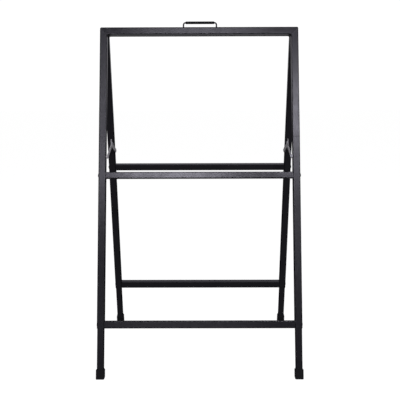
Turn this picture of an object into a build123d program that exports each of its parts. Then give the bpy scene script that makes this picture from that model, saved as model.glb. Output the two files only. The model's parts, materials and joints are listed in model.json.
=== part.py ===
from build123d import *
import os
from math import atan2, cos, degrees, hypot, radians, sin, sqrt

# A folding A-frame stand: two frames of square steel tube, hinged together at the top and
# held open by a folding stay on each side.
# X runs across the stand, Y from the front to the rear and Z up. The origin is on the
# floor, under the hinge line. All dimensions are in millimetres and degrees.

# Tube stock: the posts, top rails and lower rails are one size, and the mid rails and the
# legs, which slide into the posts, are the size below it.
tube_wall = 1.2
post_size = 24.0
post_corner = 2.6
cross_size = 21.4
cross_corner = 2.4

# The frames. Each has an upper and a lower window of the same height.
frame_width = 660.0
window_height = 461.0
frame_tilt = 13.75
frame_face_length = 1152.3  # from the top edge to the floor, down the outer face
top_gap = 6.0  # from the hinge plane to the inner top edge of each frame
top_corner_radius = 6.0

# The legs and the rubber boots
leg_overlap = 110.0
leg_end_height = 5.0
boot_wall = 2.8
boot_corner = 3.6
boot_height = 32.6
boot_top_chamfer = 1.8
boot_sole_radius = 1.2
boot_clearance = 0.05

# Screws that hold the rails, with their inserts in the ends of the rails
screw_diameter = 6.0
screw_hole = 6.4
screw_reach = 40.0
mid_head_diameter = 12.6
mid_head_rim = 1.2
mid_head_height = 3.0
lower_head_diameter = 15.0
lower_head_rim = 0.6
lower_head_height = 1.8
hex_socket = 4.0
socket_floor = 0.6  # left between the socket and the post
insert_length = 24.0
insert_clearance = 0.1
insert_corner = 1.5

# The hinge at each top corner: a lug on each top rail, a washer and a riveted pin
hinge_drop = 16.0  # from the inner top edges down to the pin
lug_radius = 8.0
lug_thickness = 3.0
hinge_washer_diameter = 14.0
hinge_washer_thickness = 1.0
hinge_pin_diameter = 6.0
hinge_head_diameter = 10.5
hinge_head_height = 2.0
hinge_head_rim = 1.0

# Clearances of moving parts: sideways between plates, and on the radius of a pivot
side_clearance = 0.3
pivot_clearance = 0.05

# The folding stays: the rear link runs next to the post and the front link beside it
stay_drop = 433.0  # from the top edge of a frame down to the pivot on its post
knee_rise = 34.0
link_width = 14.0
link_thickness = 2.0
link_gap = 0.4
rib_width = 5.0
rib_depth = 0.6
rib_end = 16.0
rear_spacer_thickness = 0.8
spacer_diameter = 12.0
stay_rivet_diameter = 6.0
stay_rivet_head = 11.0
stay_rivet_height = 1.5
stay_rivet_rim = 0.6
stay_rivet_tail = 10.0
stay_rivet_tail_height = 1.5
knee_rivet_diameter = 5.0
knee_rivet_head = 10.0
knee_rivet_height = 1.5
knee_rivet_rim = 0.5

# The stop on the knee end of the rear link: a thumb lug with a tab bent over the front link
thumb_height = 12.0
thumb_radius = 4.0
tab_root_radius = 3.0
tab_length = 5.0
tab_thickness = 2.2
tab_overhang = 3.0
tab_clearance = 0.4
tab_setback = 7.0  # from the knee, back along the front link
tab_root_setback = 9.0
tab_root_rise = 7.0

# The handle on the front top rail
handle_span = 110.0
handle_offset = 2.8  # to the right of the middle of the rail
handle_rod = 5.0
handle_bend = 7.0
handle_rise = 18.0
handle_root = 5.0  # length of each leg below the top of the rail
handle_hole = 5.2
grip_diameter = 8.9
grip_length = 96.0
grip_bore = 5.1
grip_edge = 1.6
collar_diameter = 9.0
collar_thickness = 1.2

# Places worked out from the dimensions above. Distances down a frame are from its top edge.
tilt = radians(frame_tilt)
half_width = frame_width / 2
inner_x = half_width - post_size
post_x = half_width - post_size / 2
mid_centre = post_size + window_height + cross_size / 2
lower_centre = post_size + window_height + cross_size + window_height + post_size / 2
post_length = lower_centre + post_size / 2
top_height = frame_face_length * cos(tilt) - post_size * sin(tilt)
hinge_height = top_height - hinge_drop
hinge_down = hinge_drop * cos(tilt) - top_gap * sin(tilt)
hinge_inward = hinge_drop * sin(tilt) + top_gap * cos(tilt)
leg_top = post_length - leg_overlap
leg_end = (top_height - leg_end_height) / cos(tilt)
boot_size = cross_size + 2 * boot_wall
boot_top = frame_face_length - boot_height
stay_y = top_gap + stay_drop * sin(tilt) + post_size / 2 * cos(tilt)
stay_z = top_height - stay_drop * cos(tilt) + post_size / 2 * sin(tilt)
knee_z = stay_z + knee_rise
link_length = hypot(stay_y, knee_rise)
link_slope = degrees(atan2(knee_rise, stay_y))
rear_link_x = inner_x - rear_spacer_thickness - side_clearance - link_thickness
front_link_x = rear_link_x - link_gap - link_thickness
front_spacer_thickness = inner_x - (front_link_x + link_thickness + side_clearance)
left_leg = handle_offset - handle_span / 2
right_leg = handle_offset + handle_span / 2

# The axes of a frame: x across, y up the posts and z out of the frame, with the origin in
# the middle of its inner top edge. The rear frame is the front one turned half round.
frames = {
    "front": Plane((0, -top_gap, top_height), x_dir=(1, 0, 0), z_dir=(0, -cos(tilt), sin(tilt))),
    "rear": Plane((0, top_gap, top_height), x_dir=(-1, 0, 0), z_dir=(0, cos(tilt), sin(tilt))),
}
sides = {"left": -1, "right": 1}
turned_round = {"front": 1, "rear": -1}
mid_depth = post_size / 2

os.makedirs("parts", exist_ok=True)


def in_frame(frame, origin, x_dir, z_dir):
    """A plane given by its origin and directions in the axes of a frame."""
    return Plane(frame.location * Plane(origin=origin, x_dir=x_dir, z_dir=z_dir).location)


def down_frame(frame, x, down):
    """A plane across a post or a leg, whose normal points down the frame."""
    return in_frame(frame, (x, -down, mid_depth), x_dir=(1, 0, 0), z_dir=(0, -1, 0))


def across_frame(frame, x, down):
    """A plane across a rail, whose normal points along the frame's x axis."""
    return in_frame(frame, (x, -down, mid_depth), x_dir=(0, 1, 0), z_dir=(1, 0, 0))


def outward(frame, side, x, down, out):
    """A plane through a fastener's axis, whose x axis points out of that side of the stand."""
    return in_frame(frame, (side * x, -down, out), x_dir=(side, 0, 0), z_dir=(0, -side, 0))


def mitre(frame, side):
    """The plane of the joint between a post and its top rail, facing the post."""
    return in_frame(frame, (side * half_width, 0, 0), x_dir=(0, 0, 1), z_dir=(side, -1, 0))


def tube_section(size, corner):
    """The section of a square tube, for the sketch in hand."""
    bore = size - 2 * tube_wall
    RectangleRounded(size, size, corner)
    RectangleRounded(bore, bore, corner - tube_wall, mode=Mode.SUBTRACT)


def corner_trim(frame, side):
    """What the grinder takes off a top corner to leave it round."""
    centre = (side * (half_width - top_corner_radius), -top_corner_radius, mid_depth)
    reach = top_corner_radius + 1
    align = (Align.MIN if side > 0 else Align.MAX, Align.MIN)
    with BuildPart() as trim:
        with BuildSketch(in_frame(frame, centre, x_dir=(1, 0, 0), z_dir=(0, 0, 1))):
            Rectangle(reach, reach, align=align)
            Circle(top_corner_radius, mode=Mode.SUBTRACT)
        extrude(amount=post_size, both=True)
    return trim.part


def dome_height(radius, base_radius, height):
    """Height of a spherical cap at a distance from its axis."""
    sphere = (base_radius**2 + height**2) / (2 * height)
    return sqrt(sphere**2 - radius**2) - (sphere - height)


def domed_fastener(start, head, rim, height, shank, reach, tail=0.0, tail_height=0.0):
    """A screw or rivet along the x axis of its start plane, which is where the head seats.

    The head stands out along +x and the shank runs back by reach, with an optional tail
    formed on the end of the shank."""
    head_radius = head / 2
    half_way = head_radius / 2
    crown = height - rim
    shank_radius = shank / 2
    tail_radius = tail / 2
    with BuildPart() as fastener:
        with BuildSketch(start):
            with BuildLine():
                if tail > 0:
                    Polyline(
                        (-reach - tail_height, 0),
                        (-reach - tail_height, tail_radius),
                        (-reach, tail_radius),
                        (-reach, shank_radius),
                        (0, shank_radius),
                    )
                    Line((height, 0), (-reach - tail_height, 0))
                else:
                    Polyline((-reach, 0), (-reach, shank_radius), (0, shank_radius))
                    Line((height, 0), (-reach, 0))
                Polyline((0, shank_radius), (0, head_radius), (rim, head_radius))
                ThreePointArc(
                    (rim, head_radius),
                    (rim + dome_height(half_way, head_radius, crown), half_way),
                    (height, 0),
                )
            make_face()
        revolve(axis=Axis(start.origin, start.x_dir))
    return fastener.part


def socket(start, top, depth):
    """A hexagon socket cut into a screw head, down from its top."""
    seat = Plane(start.origin + start.x_dir * top, x_dir=start.z_dir, z_dir=start.x_dir * -1)
    with BuildPart() as cutter:
        with BuildSketch(seat):
            RegularPolygon(hex_socket / sqrt(3), 6)
        extrude(amount=depth)
    return cutter.part


def finish(builder, name):
    """Label a finished piece and write it."""
    builder.part.label = name
    export_step(builder.part, f"parts/{name}.step")


# ---------------------------------------------------------------- the two frames
for end, frame in frames.items():
    # Local x is world x on the front frame and its opposite on the rear one.
    hand = turned_round[end]

    for name, world_side in sides.items():
        side = world_side * hand

        with BuildPart() as post:
            with BuildSketch(down_frame(frame, side * post_x, 0)):
                tube_section(post_size, post_corner)
            extrude(amount=post_length)
            split(bisect_by=mitre(frame, side), keep=Keep.TOP)
            add(corner_trim(frame, side), mode=Mode.SUBTRACT)
            with BuildSketch(across_frame(frame, side * post_x, mid_centre)):
                Circle(screw_hole / 2)
            extrude(amount=post_size, both=True, mode=Mode.SUBTRACT)
            with BuildSketch(across_frame(frame, side * post_x, lower_centre)):
                Circle(screw_hole / 2)
            extrude(amount=post_size, both=True, mode=Mode.SUBTRACT)
            with BuildSketch(across_frame(frame, side * inner_x, stay_drop)):
                Circle(stay_rivet_diameter / 2 + pivot_clearance)
            extrude(amount=side * post_size / 2, mode=Mode.SUBTRACT)
        finish(post, f"{end}_{name}_post")

        with BuildPart() as leg:
            with BuildSketch(down_frame(frame, side * post_x, leg_top)):
                tube_section(cross_size, cross_corner)
            extrude(amount=leg_end - leg_top)
            with BuildSketch(across_frame(frame, side * post_x, lower_centre)):
                Circle(screw_hole / 2)
            extrude(amount=post_size, both=True, mode=Mode.SUBTRACT)
        finish(leg, f"{end}_{name}_leg")

        with BuildPart() as boot:
            with BuildSketch(down_frame(frame, side * post_x, boot_top)):
                RectangleRounded(boot_size, boot_size, boot_corner)
            extrude(amount=boot_height + boot_size)
            chamfer(boot.faces().sort_by(Axis.Z)[-1].edges(), boot_top_chamfer)
            with BuildSketch(down_frame(frame, side * post_x, boot_top)):
                pocket = cross_size + 2 * boot_clearance
                RectangleRounded(pocket, pocket, cross_corner)
            extrude(amount=leg_end - boot_top, mode=Mode.SUBTRACT)
            split(bisect_by=Plane.XY, keep=Keep.TOP)
            fillet(boot.faces().sort_by(Axis.Z)[0].edges(), boot_sole_radius)
        finish(boot, f"{end}_{name}_boot")

    with BuildPart() as top_rail:
        with BuildSketch(across_frame(frame, -half_width, mid_depth)):
            tube_section(post_size, post_corner)
        extrude(amount=frame_width)
        for side in (-1, 1):
            split(bisect_by=mitre(frame, side), keep=Keep.BOTTOM)
            add(corner_trim(frame, side), mode=Mode.SUBTRACT)
        if end == "front":
            with BuildSketch(down_frame(frame, 0, 0)):
                with Locations((left_leg, 0), (right_leg, 0)):
                    Circle(handle_hole / 2)
            extrude(amount=2 * tube_wall, mode=Mode.SUBTRACT)
    finish(top_rail, f"{end}_top_rail")

    rails = {
        "mid_rail": (mid_centre, cross_size, cross_corner),
        "lower_rail": (lower_centre, post_size, post_corner),
    }
    heads = {
        "mid_rail": (mid_head_diameter, mid_head_rim, mid_head_height),
        "lower_rail": (lower_head_diameter, lower_head_rim, lower_head_height),
    }
    for rail_name, (centre, size, corner) in rails.items():
        with BuildPart() as rail:
            with BuildSketch(across_frame(frame, -inner_x, centre)):
                tube_section(size, corner)
            extrude(amount=2 * inner_x)
        finish(rail, f"{end}_{rail_name}")

        insert_size = size - 2 * tube_wall - 2 * insert_clearance
        with BuildPart() as inserts:
            for side in (-1, 1):
                with BuildSketch(across_frame(frame, side * inner_x, centre)):
                    RectangleRounded(insert_size, insert_size, insert_corner)
                    Circle(screw_diameter / 2 + pivot_clearance, mode=Mode.SUBTRACT)
                extrude(amount=-side * insert_length)
        finish(inserts, f"{end}_{rail_name}_inserts")

        head, rim, height = heads[rail_name]
        with BuildPart() as screws:
            for side in (-1, 1):
                seat = outward(frame, side, half_width, centre, mid_depth)
                add(domed_fastener(seat, head, rim, height, screw_diameter, screw_reach))
                add(socket(seat, height, height - socket_floor), mode=Mode.SUBTRACT)
        finish(screws, f"{end}_{rail_name}_screws")


# ---------------------------------------------------------------- the hinges
lug_x = {
    "front": inner_x - lug_thickness,
    "rear": inner_x - lug_thickness - hinge_washer_thickness - side_clearance - lug_thickness,
}
for name, world_side in sides.items():
    for end, frame in frames.items():
        side = world_side * turned_round[end]
        edge = in_frame(
            frame, (side * lug_x[end], -hinge_down, -hinge_inward), x_dir=(0, 1, 0), z_dir=(1, 0, 0)
        )
        with BuildPart() as lug:
            with BuildSketch(edge):
                Circle(lug_radius)
                Rectangle(2 * lug_radius, hinge_inward, align=(Align.CENTER, Align.MIN))
                Circle(hinge_pin_diameter / 2 + pivot_clearance, mode=Mode.SUBTRACT)
            extrude(amount=side * lug_thickness)
        finish(lug, f"{end}_{name}_hinge_lug")

    washer_x = lug_x["front"] - hinge_washer_thickness
    with BuildPart() as washer:
        with BuildSketch(Plane.YZ.offset(world_side * washer_x)):
            with Locations((0, hinge_height)):
                Circle(hinge_washer_diameter / 2)
                Circle(hinge_pin_diameter / 2 + pivot_clearance, mode=Mode.SUBTRACT)
        extrude(amount=world_side * hinge_washer_thickness)
    finish(washer, f"{name}_hinge_washer")

    pin_end = lug_x["rear"] - side_clearance
    pin_seat = Plane(
        (world_side * inner_x, 0, hinge_height),
        x_dir=(world_side, 0, 0),
        z_dir=(0, -world_side, 0),
    )
    with BuildPart() as pin:
        add(
            domed_fastener(
                pin_seat,
                hinge_head_diameter,
                hinge_head_rim,
                hinge_head_height,
                hinge_pin_diameter,
                inner_x - pin_end,
                hinge_head_diameter,
                hinge_head_height,
            )
        )
    finish(pin, f"{name}_hinge_pin")


# ---------------------------------------------------------------- the folding stays
link_places = {"front": (-stay_y, front_link_x), "rear": (stay_y, rear_link_x)}
for name, world_side in sides.items():
    for end, (pivot_y, link_x) in link_places.items():
        slope = link_slope if end == "front" else -link_slope
        face = Plane.YZ.offset(world_side * link_x)
        middle = (pivot_y / 2, stay_z + knee_rise / 2)
        with BuildPart() as link:
            with BuildSketch(face):
                with Locations(middle):
                    SlotCenterToCenter(link_length, link_width, rotation=slope)
            if end == "rear":
                with BuildSketch(face):
                    with Locations((0, knee_z)):
                        Circle(link_width / 2)
                    with Locations((0, knee_z + thumb_height)):
                        Circle(thumb_radius)
                    with Locations((-tab_root_setback, knee_z + tab_root_rise)):
                        Circle(tab_root_radius)
                    make_hull()
            extrude(amount=world_side * link_thickness)
            if end == "rear":
                # The tab, bent over towards the front link and resting along its upper edge
                along = Vector(-cos(radians(link_slope)), -sin(radians(link_slope)))
                up = Vector(-sin(radians(link_slope)), cos(radians(link_slope)))
                rise = link_width / 2 + tab_clearance + tab_thickness / 2
                tab = Vector(0, knee_z) + along * tab_setback + up * rise
                with BuildSketch(face.offset(-world_side * tab_overhang)):
                    with Locations((tab.X, tab.Y)):
                        Rectangle(tab_length, tab_thickness, rotation=link_slope)
                extrude(amount=world_side * (tab_overhang + link_thickness))
            with BuildSketch(face):
                with Locations((pivot_y, stay_z)):
                    Circle(stay_rivet_diameter / 2 + pivot_clearance)
                with Locations((0, knee_z)):
                    Circle(knee_rivet_diameter / 2 + pivot_clearance)
            extrude(amount=world_side * link_thickness, mode=Mode.SUBTRACT)
            with BuildSketch(face):
                with Locations(middle):
                    SlotCenterToCenter(link_length - 2 * rib_end, rib_width, rotation=slope)
            extrude(amount=world_side * rib_depth, mode=Mode.SUBTRACT)
        finish(link, f"{name}_{end}_link")

    # Each half of the knee rivet stays in its own link, with its head on the outside.
    knee_heads = {"front": (front_link_x, -1), "rear": (rear_link_x + link_thickness, 1)}
    for end, (head_x, direction) in knee_heads.items():
        knee_seat = Plane(
            (world_side * head_x, 0, knee_z),
            x_dir=(world_side * direction, 0, 0),
            z_dir=(0, -world_side * direction, 0),
        )
        with BuildPart() as knee_rivet:
            add(
                domed_fastener(
                    knee_seat,
                    knee_rivet_head,
                    knee_rivet_rim,
                    knee_rivet_height,
                    knee_rivet_diameter,
                    link_thickness,
                )
            )
        finish(knee_rivet, f"{name}_{end}_knee_rivet")

for end, (pivot_y, link_x) in link_places.items():
    frame = frames[end]
    thickness = front_spacer_thickness if end == "front" else rear_spacer_thickness
    with BuildPart() as spacers:
        for world_side in sides.values():
            with BuildSketch(Plane.YZ.offset(world_side * inner_x)):
                with Locations((pivot_y, stay_z)):
                    Circle(spacer_diameter / 2)
                    Circle(stay_rivet_diameter / 2 + pivot_clearance, mode=Mode.SUBTRACT)
            extrude(amount=-world_side * thickness)
    finish(spacers, f"{end}_stay_spacers")

    head_x = link_x - side_clearance
    with BuildPart() as rivets:
        for world_side in sides.values():
            seat = Plane(
                (world_side * head_x, pivot_y, stay_z),
                x_dir=(-world_side, 0, 0),
                z_dir=(0, world_side, 0),
            )
            add(
                domed_fastener(
                    seat,
                    stay_rivet_head,
                    stay_rivet_rim,
                    stay_rivet_height,
                    stay_rivet_diameter,
                    inner_x + tube_wall - head_x,
                    stay_rivet_tail,
                    stay_rivet_tail_height,
                )
            )
    finish(rivets, f"{end}_stay_rivets")


# ---------------------------------------------------------------- the handle
front = frames["front"]
handle_plane = in_frame(front, (0, 0, mid_depth), x_dir=(1, 0, 0), z_dir=(0, 0, 1))

with BuildPart() as handle_bar:
    with BuildLine(handle_plane):
        FilletPolyline(
            (left_leg, -handle_root),
            (left_leg, handle_rise),
            (right_leg, handle_rise),
            (right_leg, -handle_root),
            radius=handle_bend,
        )
    with BuildSketch(down_frame(front, left_leg, handle_root)):
        Circle(handle_rod / 2)
    sweep()
finish(handle_bar, "handle_bar")

grip_middle = in_frame(front, (handle_offset, handle_rise, mid_depth), x_dir=(0, 1, 0), z_dir=(1, 0, 0))
with BuildPart() as handle_grip:
    with BuildSketch(grip_middle):
        Circle(grip_diameter / 2)
    extrude(amount=grip_length / 2, both=True)
    fillet(handle_grip.edges().filter_by(GeomType.CIRCLE), grip_edge)
    with BuildSketch(grip_middle):
        Circle(grip_bore / 2)
    extrude(amount=grip_length, both=True, mode=Mode.SUBTRACT)
finish(handle_grip, "handle_grip")

with BuildPart() as handle_collars:
    with BuildSketch(down_frame(front, 0, 0)):
        with Locations((left_leg, 0), (right_leg, 0)):
            Circle(collar_diameter / 2)
            Circle(handle_hole / 2, mode=Mode.SUBTRACT)
    extrude(amount=-collar_thickness)
finish(handle_collars, "handle_collars")
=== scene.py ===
import json
import math
from collections import namedtuple

import bmesh
import bpy
from mathutils import Matrix, Vector


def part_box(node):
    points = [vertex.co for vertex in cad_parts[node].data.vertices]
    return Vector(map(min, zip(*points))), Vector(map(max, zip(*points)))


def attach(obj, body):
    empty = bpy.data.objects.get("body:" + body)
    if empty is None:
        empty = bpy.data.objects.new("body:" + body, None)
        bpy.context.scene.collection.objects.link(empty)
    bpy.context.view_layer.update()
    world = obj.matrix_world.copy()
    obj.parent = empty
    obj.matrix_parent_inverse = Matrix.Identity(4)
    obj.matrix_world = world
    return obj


# The looks of a folding A-frame stand. All lengths are in metres, in the CAD model's frame:
# X to the right, Y from the front frame to the rear one, Z up, origin on the floor.

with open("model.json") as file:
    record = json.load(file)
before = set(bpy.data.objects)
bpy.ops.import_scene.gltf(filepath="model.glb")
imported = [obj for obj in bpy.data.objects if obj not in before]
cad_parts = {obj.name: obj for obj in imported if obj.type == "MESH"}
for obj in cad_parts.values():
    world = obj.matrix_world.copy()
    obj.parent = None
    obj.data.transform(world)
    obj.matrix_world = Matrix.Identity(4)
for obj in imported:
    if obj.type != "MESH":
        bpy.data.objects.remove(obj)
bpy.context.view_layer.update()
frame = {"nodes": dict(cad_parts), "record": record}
scene = bpy.context.scene
MM = 0.001

# ---------------------------------------------------------------- the frames

FRAME_TILT = math.radians(13.75)
POST = 24 * MM
TOP_GAP = 6 * MM
HINGE_DROP = 16 * MM
SEAM_DOWN = 369 * MM
frame_sides = {"front": -1, "rear": 1}
hinge = Vector(next(j["pos_m"] for j in frame["record"]["behaviour"]["joints"] if j["name"] == "fold"))


def frame_axes(end):
    """The directions across a frame, down it and out of its inner face."""
    lean, rise = math.sin(FRAME_TILT), math.cos(FRAME_TILT)
    side = frame_sides[end]
    return Vector((1, 0, 0)), Vector((0, side * lean, -rise)), Vector((0, side * rise, lean))


def on_frame(end, x, down, out):
    """A point from its distance down a frame from the top and out of its inner face."""
    across, down_frame, out_of_frame = frame_axes(end)
    top = Vector((0, frame_sides[end] * TOP_GAP, hinge.z + HINGE_DROP))
    return top + x * across + down * down_frame + out * out_of_frame


# ---------------------------------------------------------------- node helpers


def set_range(node, low, high, to_low, to_high):
    """Fills in the limits of a Map Range node."""
    limits = {"From Min": low, "From Max": high, "To Min": to_low, "To Max": to_high}
    for name, number in limits.items():
        node.inputs[name].default_value = number


class Shader:
    """A new material with a Principled BSDF and short ways to add nodes to it."""

    def __init__(self, name, roughness, specular=0.5, metallic=0.0):
        self.material = bpy.data.materials.new(name)
        self.material.use_nodes = True
        self.tree = self.material.node_tree
        self.surface = self.tree.nodes["Principled BSDF"]
        self.surface.inputs["Roughness"].default_value = roughness
        self.surface.inputs["Specular IOR Level"].default_value = specular
        self.surface.inputs["Metallic"].default_value = metallic
        coordinates = self.add("ShaderNodeTexCoord")
        self.place = coordinates.outputs["Object"]
        self.facing = coordinates.outputs["Normal"]

    def add(self, kind, **settings):
        node = self.tree.nodes.new(kind)
        for name, value in settings.items():
            setattr(node, name, value)
        return node

    def link(self, source, target):
        self.tree.links.new(source, target)

    def put(self, source, name):
        """Feeds a socket of the Principled BSDF."""
        self.link(source, self.surface.inputs[name])

    def stretched(self, stretch):
        """The object coordinates, stretched along each axis."""
        mapping = self.add("ShaderNodeMapping")
        mapping.inputs["Scale"].default_value = stretch
        self.link(self.place, mapping.inputs["Vector"])
        return mapping.outputs["Vector"]

    def noise(self, size, detail=2.0, rough=0.5, place=None):
        """Noise whose features are about size metres across."""
        node = self.add("ShaderNodeTexNoise")
        node.inputs["Scale"].default_value = 1 / size
        node.inputs["Detail"].default_value = detail
        node.inputs["Roughness"].default_value = rough
        self.link(place or self.place, node.inputs["Vector"])
        return node.outputs["Fac"]

    def cells(self, size):
        """Distance to the points of a cell pattern of about size metres."""
        node = self.add("ShaderNodeTexVoronoi")
        node.inputs["Scale"].default_value = 1 / size
        self.link(self.place, node.inputs["Vector"])
        return node.outputs["Distance"]

    def remap(self, value, low, high, to_low=0.0, to_high=1.0):
        """Carries low..high to to_low..to_high, smoothly and clamped."""
        node = self.add("ShaderNodeMapRange", interpolation_type="SMOOTHSTEP")
        set_range(node, low, high, to_low, to_high)
        self.link(value, node.inputs["Value"])
        return node.outputs["Result"]

    def combine(self, first, second, operation="ADD"):
        """Two numbers, each a float or a socket, added or otherwise combined and clamped."""
        node = self.add("ShaderNodeMath", operation=operation, use_clamp=True)
        for value, socket in zip((first, second), node.inputs):
            if isinstance(value, float):
                socket.default_value = value
            else:
                self.link(value, socket)
        return node.outputs["Value"]

    def mix(self, factor, first, second):
        """A colour between two: each is an RGB tuple or a socket."""
        node = self.add("ShaderNodeMix", data_type="RGBA")
        self.link(factor, node.inputs["Factor"])
        for value, socket in ((first, node.inputs["A"]), (second, node.inputs["B"])):
            if isinstance(value, tuple):
                socket.default_value = (*value, 1)
            else:
                self.link(value, socket)
        return node.outputs["Result"]

    def tint(self, colour, mask, share, paint):
        """A colour with a share of another laid over it where a mask is one."""
        return self.mix(self.combine(mask, share, "MULTIPLY"), colour, paint)

    def bump(self, height, depth, below=None):
        """A bump whose full height is depth metres, on top of another bump if one is given."""
        node = self.add("ShaderNodeBump")
        node.inputs["Strength"].default_value = 1.0
        node.inputs["Distance"].default_value = depth
        self.link(height, node.inputs["Height"])
        if below is not None:
            self.link(below, node.inputs["Normal"])
        return node.outputs["Normal"]

    def edges(self, radius):
        """One on sharp edges and nought on flat faces."""
        least, most = 0.02, 0.25  # one minus the cosine of the turn within the radius
        bevel = self.add("ShaderNodeBevel", samples=6)
        bevel.inputs["Radius"].default_value = radius
        geometry = self.add("ShaderNodeNewGeometry")
        alike = self.add("ShaderNodeVectorMath", operation="DOT_PRODUCT")
        self.link(bevel.outputs["Normal"], alike.inputs[0])
        self.link(geometry.outputs["Normal"], alike.inputs[1])
        return self.remap(self.combine(1.0, alike.outputs["Value"], "SUBTRACT"), least, most)

    def off_axes(self, axes):
        """Nought on faces that are square to one of three axes, one on corners between them."""
        flat, rounded = 0.985, 0.93  # cosines of the angle to the nearest axis
        cosines = []
        for axis in axes:
            facing = self.add("ShaderNodeVectorMath", operation="DOT_PRODUCT")
            self.link(self.facing, facing.inputs[0])
            facing.inputs[1].default_value = axis
            size = self.add("ShaderNodeMath", operation="ABSOLUTE")
            self.link(facing.outputs["Value"], size.inputs[0])
            cosines.append(size.outputs["Value"])
        largest = self.combine(self.combine(cosines[0], cosines[1], "MAXIMUM"), cosines[2], "MAXIMUM")
        return self.remap(largest, flat, rounded)

    def band(self, axis, at, width):
        """One in a narrow band across an axis, nought away from it."""
        along = self.add("ShaderNodeVectorMath", operation="DOT_PRODUCT")
        self.link(self.place, along.inputs[0])
        along.inputs[1].default_value = axis
        gap = self.add("ShaderNodeMath", operation="SUBTRACT")
        self.link(along.outputs["Value"], gap.inputs[0])
        gap.inputs[1].default_value = at
        distance = self.add("ShaderNodeMath", operation="ABSOLUTE")
        self.link(gap.outputs["Value"], distance.inputs[0])
        return self.remap(distance.outputs["Value"], 0.5 * width, 0.2 * width)

    def grain(self, along, amount):
        """Spreads the highlight across a direction, which is given in the CAD frame."""
        turn = self.add(
            "ShaderNodeVectorTransform",
            vector_type="VECTOR",
            convert_from="OBJECT",
            convert_to="WORLD",
        )
        turn.inputs["Vector"].default_value = along
        self.put(turn.outputs["Vector"], "Tangent")
        self.surface.inputs["Anisotropic"].default_value = amount
        self.surface.inputs["Anisotropic Rotation"].default_value = 0.25


# ---------------------------------------------------------------- materials

def powder_coat(name, end, along, roughness, spread, seam=False):
    """Satin black powder coat on drawn tube: fine lines along the tube, which spread the
    sheen across it, under orange peel, pimples and cloudy patches. Its rounded corners are
    painted darker as painted shade and are rougher and less glossy; it is rubbed to grey in a
    few places there. The seam is a faint shallow line round a post, part of the way down it."""
    shader = Shader(name, roughness)
    cloud = shader.noise(60 * MM, detail=3.0)
    speck = shader.remap(shader.noise(0.9 * MM, detail=1.0), 0.62, 0.74)
    colour = shader.mix(cloud, (0.020, 0.0192, 0.0225), (0.026, 0.0250, 0.0285))
    colour = shader.tint(colour, speck, 0.2, (0.05, 0.05, 0.05))
    corner = shader.off_axes(frame_axes(end))
    # Painted shade: the rounded corners are darkened towards near black (0.007), standing in for the
    # shade on them.
    colour = shader.tint(colour, corner, 0.6, (0.007, 0.007, 0.007))
    patches = shader.remap(shader.noise(9 * MM, 3.0), 0.55, 0.72)
    rubbed = shader.combine(shader.edges(0.7 * MM), patches, "MULTIPLY")
    shader.put(shader.tint(colour, rubbed, 0.25, (0.09, 0.09, 0.09)), "Base Color")
    haze = shader.remap(shader.noise(24 * MM, detail=4.0), 0.3, 0.7, roughness - 0.02, roughness + 0.02)
    shader.put(shader.combine(haze, shader.combine(corner, 0.15, "MULTIPLY")), "Roughness")
    dull = corner
    groove = None
    if seam:
        down = frame_axes(end)[1]
        line = shader.band(down, on_frame(end, 0, SEAM_DOWN, 0).dot(down), 2.8 * MM)
        dull = shader.combine(corner, shader.combine(line, 0.5, "MULTIPLY"), "MAXIMUM")
        groove = shader.bump(shader.combine(1.0, line, "SUBTRACT"), 0.08 * MM)
    shader.put(shader.remap(dull, 0.0, 1.0, 0.5, 0.12), "Specular IOR Level")
    shader.grain(along, spread)
    peel = shader.bump(shader.noise(2.2 * MM, detail=1.0), 0.03 * MM, below=groove)
    pimples = shader.bump(shader.noise(0.7 * MM, detail=2.0), 0.008 * MM, below=peel)
    shader.put(pimples, "Normal")
    return shader.material


def zinc_plate(name):
    """Pale passivated zinc: faint yellow and blue clouds, rolling lines and scuffs."""
    shader = Shader(name, 0.45, metallic=0.1)
    cloud = shader.noise(9 * MM, detail=3.0)
    colour = shader.mix(shader.remap(cloud, 0.35, 0.65), (0.97, 0.94, 0.87), (0.93, 0.94, 0.95))
    scuff = shader.remap(shader.noise(2.5 * MM, 4.0, 0.7), 0.55, 0.75)
    shader.put(shader.tint(colour, scuff, 0.3, (0.60, 0.60, 0.59)), "Base Color")
    shader.put(shader.remap(shader.noise(3 * MM, detail=5.0), 0.3, 0.7, 0.38, 0.54), "Roughness")
    rolled = shader.noise(0.5 * MM, 2.0, place=shader.stretched((1, 0.06, 0.25)))
    lines = shader.bump(rolled, 0.02 * MM)
    shader.put(shader.bump(shader.noise(0.8 * MM, 2.0), 0.015 * MM, below=lines), "Normal")
    return shader.material


def black_steel(name):
    """Black oxide on small steel pieces: bluish, oily, with rubbed edges."""
    shader = Shader(name, 0.38, specular=0.6)
    colour = shader.mix(shader.noise(4 * MM, 3.0), (0.010, 0.010, 0.012), (0.022, 0.022, 0.025))
    patches = shader.remap(shader.noise(1.6 * MM, 3.0), 0.4, 0.7)
    rubbed = shader.combine(shader.edges(0.35 * MM), patches, "MULTIPLY")
    shader.put(shader.tint(colour, rubbed, 0.5, (0.16, 0.155, 0.15)), "Base Color")
    shader.put(shader.remap(shader.noise(2 * MM, 4.0), 0.3, 0.7, 0.30, 0.46), "Roughness")
    shader.put(shader.bump(shader.noise(0.6 * MM, 2.0), 0.01 * MM), "Normal")
    return shader.material


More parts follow.
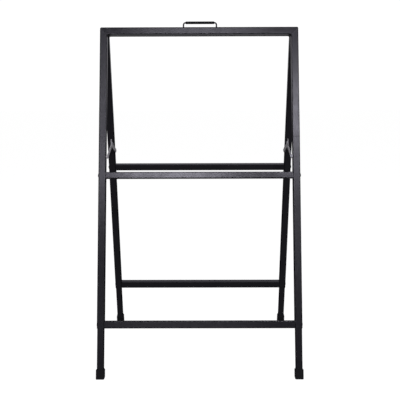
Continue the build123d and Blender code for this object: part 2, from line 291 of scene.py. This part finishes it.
def boot_rubber(name):
    """Moulded black rubber: matt, finely pitted, greyer where it has met the floor."""
    shader = Shader(name, 0.72, specular=0.35)
    cloud = shader.noise(8 * MM, detail=4.0)
    colour = shader.mix(cloud, (0.011, 0.011, 0.011), (0.019, 0.019, 0.019))
    height = shader.add("ShaderNodeSeparateXYZ")
    shader.link(shader.place, height.inputs["Vector"])
    near_floor = shader.remap(height.outputs["Z"], 9 * MM, 0.5 * MM)
    patches = shader.remap(shader.noise(2.4 * MM, 4.0, 0.7), 0.42, 0.68)
    dust = shader.combine(near_floor, patches, "MULTIPLY")
    shader.put(shader.tint(colour, dust, 0.3, (0.13, 0.125, 0.115)), "Base Color")
    shader.put(shader.remap(cloud, 0.3, 0.7, 0.62, 0.82), "Roughness")
    grain = shader.bump(shader.cells(0.8 * MM), 0.04 * MM)
    shader.put(shader.bump(shader.noise(0.35 * MM, 1.0), 0.01 * MM, below=grain), "Normal")
    return shader.material


def grip_plastic(name):
    """Soft black plastic with a fine spark-eroded texture and a faint mould sheen."""
    shader = Shader(name, 0.5, specular=0.2)
    cloud = shader.noise(12 * MM, detail=3.0)
    shader.put(shader.mix(cloud, (0.004, 0.004, 0.005), (0.008, 0.008, 0.009)), "Base Color")
    shader.put(shader.remap(cloud, 0.3, 0.7, 0.42, 0.58), "Roughness")
    shader.put(shader.bump(shader.cells(0.45 * MM), 0.02 * MM), "Normal")
    return shader.material


POST_ROUGHNESS, POST_SPREAD = 0.30, 0.6
RAIL_ROUGHNESS, RAIL_SPREAD = 0.21, 0.0
SKEW = 0.05  # drawing lines never run quite true to the tube

coats = {}
for end in frame_sides:
    across, down, _ = frame_axes(end)
    along_post, along_rail = down + SKEW * across, across + SKEW * down
    coats[end, "posts"] = powder_coat(
        f"satin_coat_{end}_posts", end, along_post, POST_ROUGHNESS, POST_SPREAD
    )
    coats[end, "rails"] = powder_coat(
        f"satin_coat_{end}_rails", end, along_rail, RAIL_ROUGHNESS, RAIL_SPREAD
    )
seamed_coat = powder_coat(
    "satin_coat_seamed", "front", frame_axes("front")[1], POST_ROUGHNESS, POST_SPREAD, seam=True
)
materials = {
    "frame_coat": coats["front", "rails"],
    "black_steel": black_steel("black_oxide"),
    "zinc_steel": zinc_plate("zinc_plate"),
    "boot_rubber": boot_rubber("moulded_rubber"),
    "grip_plastic": grip_plastic("grip_plastic"),
}

for subpart in frame["record"]["subparts"]:
    name = subpart["node"]
    finish = materials[subpart["material_slot"]]
    if subpart["material_slot"] == "frame_coat":
        end = name.split("_")[0]
        finish = coats[end, "posts" if name.endswith(("_post", "_leg")) else "rails"]
        if name == "front_right_post":
            finish = seamed_coat
    for place in frame["nodes"][name].material_slots:
        place.material = finish

# ---------------------------------------------------------------- welds

def bead(name, start, finish, section, pitch, end):
    """A coated weld from start to finish. The section is a list of offsets from that line;
    the first and last lie in the metal, and the others swell and shrink with the ripples,
    one to each pitch."""
    ring_gap, ripple_depth = 0.4 * MM, 0.10
    along = finish - start
    rings = max(8, round(along.length / ring_gap))
    mesh = bmesh.new()
    loops = []
    for step in range(rings + 1):
        reach = step / rings
        taper = min(1.0, math.sqrt(max(0.0, 1 - (2 * reach - 1) ** 8)) + 0.15)
        loop = []
        for index, offset in enumerate(section):
            share = index / (len(section) - 1)
            phase = (reach * along.length - 0.5 * pitch * math.sin(math.pi * share)) / pitch
            ripple = 1 - ripple_depth + ripple_depth * abs(math.sin(math.pi * phase))
            swell = 1.0 if index in (0, len(section) - 1) else ripple * taper
            loop.append(mesh.verts.new(start + along * reach + offset * swell))
        loops.append(loop)
    count = len(section)
    for first, second in zip(loops, loops[1:]):
        for i in range(count):
            j = (i + 1) % count
            mesh.faces.new((first[i], first[j], second[j], second[i]))
    mesh.faces.new(list(reversed(loops[0])))
    mesh.faces.new(loops[-1])
    bmesh.ops.recalc_face_normals(mesh, faces=mesh.faces)
    data = bpy.data.meshes.new(name)
    mesh.to_mesh(data)
    mesh.free()
    for face in data.polygons:
        face.use_smooth = len(face.vertices) == 4
    data.materials.append(coats[end, "rails"])
    piece = bpy.data.objects.new(name, data)
    scene.collection.objects.link(piece)
    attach(piece, f"{end}_frame")


def fillet_section(first, second, leg):
    """A rounded weld in the corner between two faces, which run along two directions."""
    sunk, flattening = 0.25 * MM, 0.12
    swell = []
    for step in range(9):
        turn = math.radians(90 * step / 8)
        reach = leg * (1 - flattening * math.sin(2 * turn))
        swell.append(reach * (math.cos(turn) * first + math.sin(turn) * second))
    return [leg * first - sunk * second, *swell, leg * second - sunk * first]


def flat_section(across, out, width, height):
    """A weld ground nearly flush with the faces on both sides of it."""
    sunk = 0.2 * MM * out
    rise = []
    for step in range(9):
        share = step / 8 - 0.5
        rise.append(width * share * across + height * (1 - (2 * share) ** 2) * out)
    return [rise[0] - sunk, *rise, rise[-1] - sunk]


def corner_weld(end, name, side):
    """A rippled bead across the inside of a top corner, under the rail."""
    _, down, _ = frame_axes(end)
    leg, pitch, margin = 3.0 * MM, 1.9 * MM, 2.4 * MM
    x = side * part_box(f"{end}_right_post")[0][0]
    start, finish = [on_frame(end, x, POST, depth) for depth in (margin, POST - margin)]
    section = fillet_section(Vector((-side, 0, 0)), down, leg)
    bead(f"{end}_{name}_corner_weld", start, finish, section, pitch, end)


def mitre_weld(end, name, side, face, depth, normal):
    """A weld along a mitre on one face of a frame, ground nearly flush."""
    _, down, _ = frame_axes(end)
    width, height, pitch = 3.2 * MM, 0.09 * MM, 2.3 * MM
    outer_margin, inner_margin = 3.4 * MM, 1.2 * MM
    inner_x, outer_x = [corner[0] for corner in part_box(f"{end}_right_post")]
    start = on_frame(end, side * (outer_x - outer_margin), outer_margin, depth)
    finish = on_frame(end, side * (inner_x + inner_margin), POST - inner_margin, depth)
    across = math.sqrt(0.5) * (Vector((side, 0, 0)) + down)
    section = flat_section(across, normal, width, height)
    bead(f"{end}_{name}_{face}_mitre_weld", start, finish, section, pitch, end)


def lug_weld(end, name, side):
    """A small bead between a hinge lug and the inner face of the top rail."""
    _, _, out = frame_axes(end)
    leg, pitch, reach = 1.2 * MM, 1.4 * MM, 7.4 * MM
    lug_low, lug_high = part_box(f"{end}_{name}_hinge_lug")
    x = lug_low[0] if side > 0 else lug_high[0]
    pin_down = HINGE_DROP * math.cos(FRAME_TILT) - TOP_GAP * math.sin(FRAME_TILT)
    start, finish = [on_frame(end, x, pin_down + offset, 0) for offset in (-reach, reach)]
    section = fillet_section(Vector((-side, 0, 0)), -out, leg)
    bead(f"{end}_{name}_lug_weld", start, finish, section, pitch, end)


for end in frame_sides:
    out = frame_axes(end)[2]
    for name, side in (("left", -1), ("right", 1)):
        corner_weld(end, name, side)
        mitre_weld(end, name, side, "outer", POST, out)
        mitre_weld(end, name, side, "inner", 0, -out)
        lug_weld(end, name, side)


# ---------------------------------------------------------------- floor, lights and camera

def make_floor(size):
    """A plain white floor, seen by the camera but kept out of the reflections."""
    mesh = bpy.data.meshes.new("floor")
    half = size / 2
    corners = [(-half, -half, 0), (half, -half, 0), (half, half, 0), (-half, half, 0)]
    mesh.from_pydata(corners, [], [(0, 1, 2, 3)])
    floor = bpy.data.objects.new("floor", mesh)
    scene.collection.objects.link(floor)
    shader = Shader("floor_white", 0.9, specular=0.0)
    shader.surface.inputs["Base Color"].default_value = (0.3, 0.3, 0.3, 1)
    shader.surface.inputs["Emission Color"].default_value = (1, 1, 1, 1)
    shader.surface.inputs["Emission Strength"].default_value = 0.99
    mesh.materials.append(shader.material)
    floor.visible_glossy = False
    floor.visible_diffuse = False
    floor.visible_shadow = False


def make_world():
    """White to the camera. To everything else: pale walls and floor behind, dark in front."""
    world = bpy.data.worlds.new("studio")
    world.use_nodes = True
    scene.world = world
    tree = world.node_tree
    tree.nodes.clear()

    def add(kind, **settings):
        node = tree.nodes.new(kind)
        for name, value in settings.items():
            setattr(node, name, value)
        return node

    def ramp(value, low, high, to_low, to_high):
        node = add("ShaderNodeMapRange", interpolation_type="SMOOTHSTEP")
        set_range(node, low, high, to_low, to_high)
        tree.links.new(value, node.inputs["Value"])
        return node.outputs["Result"]

    def math_node(operation, first, second):
        node = add("ShaderNodeMath", operation=operation)
        tree.links.new(first, node.inputs[0])
        tree.links.new(second, node.inputs[1])
        return node.outputs["Value"]

    direction = add("ShaderNodeSeparateXYZ")
    tree.links.new(add("ShaderNodeTexCoord").outputs["Generated"], direction.inputs["Vector"])
    depth, height = direction.outputs["Y"], direction.outputs["Z"]
    horizon = math_node(
        "MULTIPLY", ramp(height, -0.06, 0.02, 0.0, 0.60), ramp(height, 0.05, 0.20, 1.0, 0.1)
    )
    wall = math_node("MULTIPLY", ramp(depth, 0.15, 0.55, 0.0, 1.0), horizon)
    below = ramp(height, -0.46, -0.38, 0.32, 0.0)
    floor_behind = math_node("MULTIPLY", ramp(depth, 0.0, 0.2, 0.0, 1.0), below)
    near_floor = math_node(
        "MULTIPLY", ramp(depth, -0.2, 0.0, 1.0, 0.0), ramp(height, -0.1, 0.0, 0.10, 0.0)
    )
    strength = math_node("ADD", math_node("ADD", wall, floor_behind), near_floor)
    studio = add("ShaderNodeBackground")
    studio.inputs["Color"].default_value = (0.94, 0.93, 1.0, 1)
    tree.links.new(strength, studio.inputs["Strength"])
    white = add("ShaderNodeBackground")
    white.inputs["Color"].default_value = (1, 1, 1, 1)
    white.inputs["Strength"].default_value = 1.05
    choose = add("ShaderNodeMixShader")
    tree.links.new(add("ShaderNodeLightPath").outputs["Is Camera Ray"], choose.inputs["Fac"])
    tree.links.new(studio.outputs["Background"], choose.inputs[1])
    tree.links.new(white.outputs["Background"], choose.inputs[2])
    tree.links.new(choose.outputs["Shader"], add("ShaderNodeOutputWorld").inputs["Surface"])


def softbox(name, azimuth, elevation, width, height, watts):
    """A softbox 4 m from the middle of the stand. Azimuth runs from the front to the right."""
    reach = 4.0
    turn, lift = math.radians(azimuth), math.radians(elevation)
    middle = Vector((0, 0, 0.55))
    away = Vector((math.sin(turn) * math.cos(lift), -math.cos(turn) * math.cos(lift), math.sin(lift)))
    light = bpy.data.lights.new(name, "AREA")
    light.shape = "RECTANGLE"
    light.size = width
    light.size_y = height
    light.energy = watts
    light.color = (0.89, 0.87, 1.0)
    lamp = bpy.data.objects.new(name, light)
    lamp.location = middle + reach * away
    lamp.rotation_euler = (-away).to_track_quat("-Z", "Y").to_euler()
    scene.collection.objects.link(lamp)


make_floor(60)
make_world()
softbox("key", -4, 22, 0.9, 0.4, 14.0)
softbox("overhead", -1, 37, 0.9, 0.4, 5.8)
softbox("low", -3, 4, 1.3, 0.4, 1.7)
softbox("low right", 16, 12, 0.8, 0.4, 3.0)
softbox("right", 12, 28.5, 0.4, 0.25, 16.5)
softbox("far right", 17, 26, 0.5, 0.6, 6.0)
softbox("far left", -14, 30, 0.5, 0.3, 3.5)
softbox("left side", -60, 40, 0.9, 0.9, 13.0)
softbox("right side", 60, 40, 0.9, 0.9, 10.0)
softbox("behind", 180, 33, 3.4, 1.8, 6.5)

Lens = namedtuple("Lens", "length sensor place pitch_down turn roll shift_x")
lens = Lens(66.23, 36.0, (0.01616, -2.535, 0.9157), 0.15, 0.004, -0.0029, -0.0036)
camera_data = bpy.data.cameras.new("camera")
camera_data.lens = lens.length
camera_data.sensor_width = lens.sensor
camera_data.shift_x = lens.shift_x
camera_data.clip_end = 200
camera = bpy.data.objects.new("camera", camera_data)
camera.matrix_world = (
    Matrix.Translation(lens.place)
    @ Matrix.Rotation(lens.turn, 4, "Z")
    @ Matrix.Rotation(math.pi / 2 - lens.pitch_down, 4, "X")
    @ Matrix.Rotation(lens.roll, 4, "Z")
)
scene.collection.objects.link(camera)
scene.camera = camera
scene.view_settings.view_transform = "Standard"
